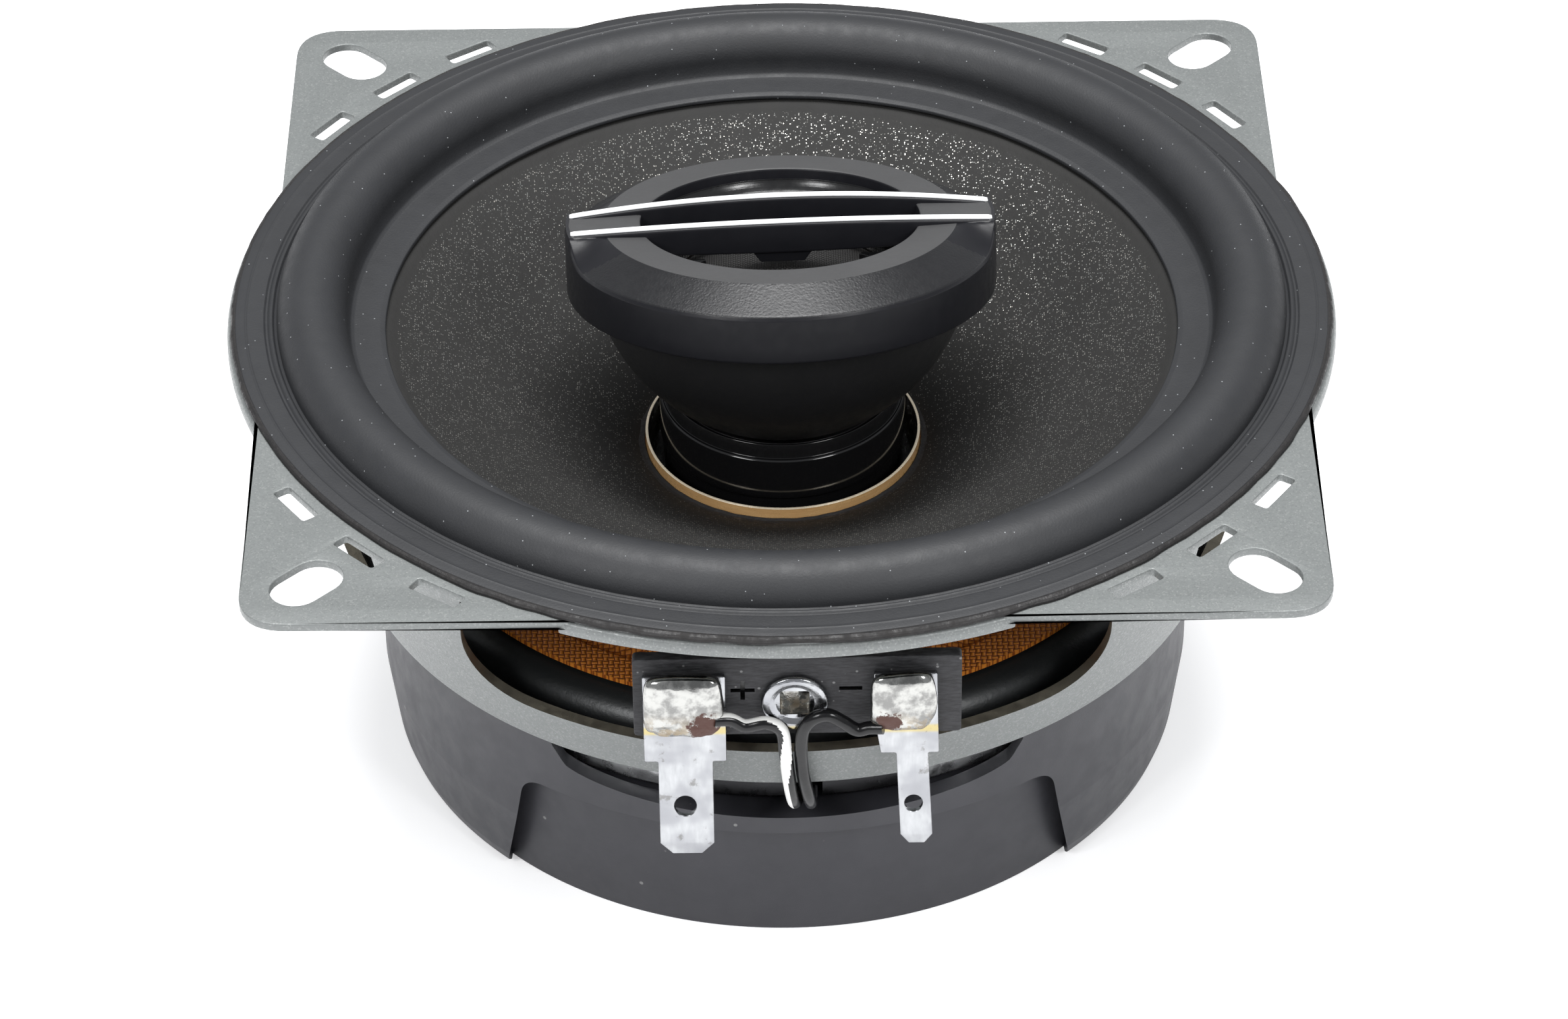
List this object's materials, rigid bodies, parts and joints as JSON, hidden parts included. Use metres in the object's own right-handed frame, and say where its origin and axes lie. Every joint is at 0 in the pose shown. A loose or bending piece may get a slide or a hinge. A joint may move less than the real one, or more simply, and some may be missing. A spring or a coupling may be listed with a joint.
{
  "type": "coaxial car speaker",
  "caption": "Coaxial car speaker of the 10 cm class: pressed steel basket with square mounting ears, rubber-edged paper cone and a ball-mounted swivelling dome tweeter.",
  "frame": {"origin": "bottom centre: on the speaker's axis at the flat underside of the magnet boot", "axes": "+Z along the speaker's axis towards the listener, terminals on the -Y side, +X to the right seen from the terminals"},
  "size_m": [0.102, 0.102, 0.0579],
  "materials": {
    "frame_paint": "grey metallic paint with a fine sparkle",
    "surround_rubber": "matte",
    "edge_glue": "glossy black adhesive",
    "cone_paper": "pressed paper with glitter flecks",
    "spider_cloth": "resin-treated woven cloth",
    "former_film": "amber film",
    "copper_wire": "enamelled copper",
    "zinc_steel": "zinc plated",
    "ferrite": "sintered ceramic",
    "boot_rubber": "matte",
    "stem_plastic": "glossy black",
    "ball_plastic": "satin",
    "cap_plastic": "satin with a fine grain",
    "stripe_trim": "bright trim",
    "board_fibre": "vulcanised fibre",
    "tinned_metal": "tinned",
    "solder": "soft solder",
    "wire_jacket": "PVC insulation",
    "dome_cloth": "coated woven cloth",
    "capacitor_sleeve": "printed sleeve, left plain"
  },
  "bodies": {
    "root": {"basket_frame": "frame_paint", "edge_adhesive": "edge_glue", "surround": "surround_rubber", "spider": "spider_cloth", "top_plate": "zinc_steel", "ferrite_magnet": "ferrite", "t_yoke": "zinc_steel", "magnet_boot": "boot_rubber", "terminal_board": "board_fibre", "positive_terminal": "tinned_metal", "negative_terminal": "tinned_metal", "board_rivet": "tinned_metal", "solder_joint_positive": "solder", "solder_joint_negative": "solder", "tweeter_lead_striped": "wire_jacket", "tweeter_lead_plain": "wire_jacket", "tinsel_lead_positive": "copper_wire", "tinsel_lead_negative": "copper_wire", "crossover_capacitor": "capacitor_sleeve", "tweeter_stem": "stem_plastic", "stem_lock_nut": "zinc_steel", "swivel_nut": "zinc_steel", "swivel_bolt": "zinc_steel", "swivel_saddle": "ball_plastic", "swivel_spring": "zinc_steel", "staking_rivet_1": "zinc_steel", "staking_rivet_2": "zinc_steel", "staking_rivet_3": "zinc_steel", "staking_rivet_4": "zinc_steel"},
    "moving_cone": {"cone": "cone_paper", "voice_coil_former": "former_film", "voice_coil_winding": "copper_wire"},
    "swivel_seat": {"swivel_seat_ring": "ball_plastic"},
    "tweeter": {"tweeter_ball": "ball_plastic", "tweeter_cap": "cap_plastic", "cap_stripe_front": "stripe_trim", "cap_stripe_rear": "stripe_trim", "dome_guard": "cap_plastic", "tweeter_chassis": "ball_plastic", "tweeter_yoke": "zinc_steel", "tweeter_magnet": "zinc_steel", "tweeter_pole_plate": "zinc_steel", "tweeter_pigtail_left": "wire_jacket", "tweeter_pigtail_right": "wire_jacket", "dome_suspension": "dome_cloth"},
    "tweeter_diaphragm": {"tweeter_dome": "dome_cloth", "tweeter_coil": "copper_wire"}
  },
  "joints": [
    {"name": "cone_travel", "type": "slide", "parent": "root", "child": "moving_cone", "axis": [0, 0, 1], "range_m": [-0.003, 0.003], "stiffness_N_per_m": 2000, "deforming": ["surround", "spider", "tinsel_lead_positive", "tinsel_lead_negative"]},
    {"name": "tweeter_turn", "type": "hinge", "parent": "root", "child": "swivel_seat", "pos_m": [0, 0, 0.0513], "axis": [0, 0, 1], "range_deg": [-90, 90]},
    {"name": "tweeter_tilt", "type": "hinge", "parent": "swivel_seat", "child": "tweeter", "pos_m": [0, 0, 0.0513], "axis": [0.9987, 0.0506, 0], "range_deg": [-1.7, 28.3]},
    {"name": "dome_travel", "type": "slide", "parent": "tweeter", "child": "tweeter_diaphragm", "axis": [-0.0116, 0.2298, 0.9732], "range_m": [-0.0003, 0.0003], "stiffness_N_per_m": 500, "deforming": ["dome_suspension"]}
  ]
}
